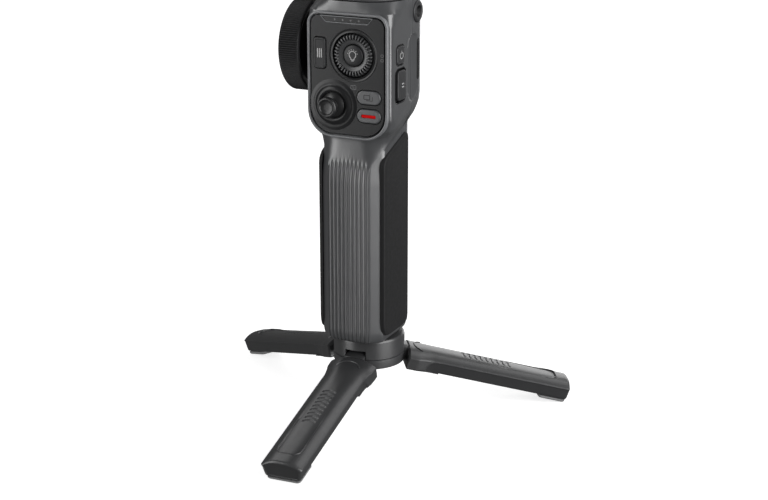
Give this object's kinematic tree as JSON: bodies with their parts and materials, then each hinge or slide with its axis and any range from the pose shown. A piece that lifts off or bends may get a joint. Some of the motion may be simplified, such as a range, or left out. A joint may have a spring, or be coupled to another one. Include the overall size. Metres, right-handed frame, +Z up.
{
  "type": "handheld phone stabiliser",
  "caption": "Handheld three-axis phone stabiliser with a control panel, side handwheel, spring phone clamp and folding mini tripod.",
  "frame": {"origin": "centre of the flat underside of the tripod hub, on the tripod's axis", "axes": "+Z up the grip, -Y out of the control panel, -X towards the handwheel"},
  "size_m": [0.2052, 0.1844, 0.3405],
  "materials": {
    "shell_grey": "satin mid-grey moulded shell",
    "shell_dark": "fine-grained charcoal plastic",
    "rubber_black": "soft black rubber",
    "foot_rubber": "grey rubber",
    "gloss_black": "smooth black plastic",
    "pale_trim": "lighter grey satin trim",
    "red_mark": "red infill",
    "steel": "plated steel",
    "alloy": "cast alloy",
    "board_green": "green circuit board",
    "cell_blue": "shrink-wrapped cell"
  },
  "bodies": {
    "grip": {"front_shell": "shell_grey", "rear_shell": "shell_dark", "grip_pad_right": "rubber_black", "grip_pad_left": "rubber_black", "panel_frame": "pale_trim", "control_panel": "shell_dark", "status_window": "gloss_black", "dial_bezel": "shell_dark", "joystick_bezel": "shell_dark", "joystick_cup": "alloy", "button_board": "board_green", "main_board": "board_green", "battery_cell": "cell_blue", "base_cap": "shell_dark", "usb_port": "steel", "accessory_socket": "shell_dark", "side_insert": "rubber_black", "handwheel_axle": "alloy", "trigger_pin": "steel", "trigger_bracket": "alloy", "leg_pin_front": "steel", "leg_pin_right": "steel", "leg_pin_left": "steel", "hub_upper": "shell_dark", "hub_lower": "shell_dark", "tripod_screw": "steel", "pan_housing": "shell_grey"},
    "leg_front": {"leg_front": "shell_dark", "foot_pad_front": "foot_rubber"},
    "leg_right": {"leg_right": "shell_dark", "foot_pad_right": "foot_rubber"},
    "leg_left": {"leg_left": "shell_dark", "foot_pad_left": "foot_rubber"},
    "handwheel": {"handwheel_disc": "shell_dark", "handwheel_tyre": "rubber_black"},
    "dial": {"dial_wheel": "rubber_black"},
    "dial_key": {"dial_button": "shell_dark"},
    "menu_key": {"menu_button": "shell_dark"},
    "mode_key": {"mode_button": "pale_trim"},
    "record_key": {"record_button": "pale_trim", "record_mark": "red_mark"},
    "power_key": {"power_button": "shell_dark"},
    "function_key": {"function_button": "shell_dark"},
    "stick_yoke": {"joystick_yoke": "steel"},
    "stick": {"joystick_stick": "gloss_black", "joystick_cap": "rubber_black"},
    "trigger": {"trigger": "shell_dark"},
    "pan": {"pan_rotor": "shell_dark", "pan_arm": "shell_grey", "roll_housing": "shell_grey"},
    "roll": {"roll_rotor": "shell_dark", "roll_arm": "shell_grey", "tilt_housing": "shell_grey"},
    "tilt": {"tilt_rotor": "shell_dark", "clamp_base": "shell_grey", "lower_jaw": "shell_dark", "lower_jaw_pad": "rubber_black"},
    "upper_jaw": {"upper_jaw": "shell_dark", "upper_jaw_pad": "rubber_black", "clamp_tongue": "steel"}
  },
  "joints": [
    {"name": "leg_front_fold", "type": "hinge", "parent": "grip", "child": "leg_front", "pos_m": [0.00054, -0.01399, 0.00535], "axis": [0.9993, 0.0384, 0], "range_deg": [0, 75]},
    {"name": "leg_right_fold", "type": "hinge", "parent": "grip", "child": "leg_right", "pos_m": [0.01185, 0.00746, 0.00535], "axis": [-0.5329, 0.8462, 0], "range_deg": [0, 75]},
    {"name": "leg_left_fold", "type": "hinge", "parent": "grip", "child": "leg_left", "pos_m": [-0.01238, 0.00653, 0.00535], "axis": [-0.4664, -0.8846, 0], "range_deg": [0, 75]},
    {"name": "handwheel_spin", "type": "hinge", "parent": "grip", "child": "handwheel", "pos_m": [-0.034, -0.002, 0.175], "axis": [1, 0, 0], "continuous": true},
    {"name": "dial_spin", "type": "hinge", "parent": "grip", "child": "dial", "pos_m": [0.0034, -0.024, 0.1754], "axis": [0, 1, 0], "continuous": true},
    {"name": "dial_press", "type": "slide", "parent": "grip", "child": "dial_key", "axis": [0, 1, 0], "range_m": [0, 0.0005], "stiffness_N_per_m": 600},
    {"name": "menu_press", "type": "slide", "parent": "grip", "child": "menu_key", "axis": [0, 1, 0], "range_m": [0, 0.0006], "stiffness_N_per_m": 600},
    {"name": "mode_press", "type": "slide", "parent": "grip", "child": "mode_key", "axis": [0, 1, 0], "range_m": [0, 0.0006], "stiffness_N_per_m": 600},
    {"name": "record_press", "type": "slide", "parent": "grip", "child": "record_key", "axis": [0, 1, 0], "range_m": [0, 0.0006], "stiffness_N_per_m": 600},
    {"name": "power_press", "type": "slide", "parent": "grip", "child": "power_key", "axis": [-1, 0, 0], "range_m": [0, 0.0006], "stiffness_N_per_m": 600},
    {"name": "function_press", "type": "slide", "parent": "grip", "child": "function_key", "axis": [-1, 0, 0], "range_m": [0, 0.0006], "stiffness_N_per_m": 600},
    {"name": "stick_up_down", "type": "hinge", "parent": "grip", "child": "stick_yoke", "pos_m": [-0.0082, -0.018, 0.1486], "axis": [1, 0, 0], "range_deg": [-14, 14], "stiffness_Nm_per_rad": 0.03},
    {"name": "stick_left_right", "type": "hinge", "parent": "stick_yoke", "child": "stick", "pos_m": [-0.0082, -0.018, 0.1486], "axis": [0, 0, 1], "range_deg": [-14, 14], "stiffness_Nm_per_rad": 0.03},
    {"name": "trigger_pull", "type": "hinge", "parent": "grip", "child": "trigger", "pos_m": [0, 0.015, 0.159], "axis": [-1, 0, 0], "range_deg": [0, 9], "stiffness_Nm_per_rad": 0.08, "springref_deg": -2.86},
    {"name": "pan_turn", "type": "hinge", "parent": "grip", "child": "pan", "pos_m": [0, -0.003, 0.226], "axis": [0, 0, 1], "range_deg": [-165, 165]},
    {"name": "roll_turn", "type": "hinge", "parent": "pan", "child": "roll", "pos_m": [0, 0.047, 0.276], "axis": [0, 1, 0], "range_deg": [-45, 45]},
    {"name": "tilt_turn", "type": "hinge", "parent": "roll", "child": "tilt", "pos_m": [-0.031, 0.008, 0.276], "axis": [1, 0, 0], "range_deg": [-45, 45]},
    {"name": "clamp_open", "type": "slide", "parent": "tilt", "child": "upper_jaw", "axis": [0, 0, 1], "range_m": [0, 0.034], "stiffness_N_per_m": 150, "springref_m": -0.03}
  ]
}
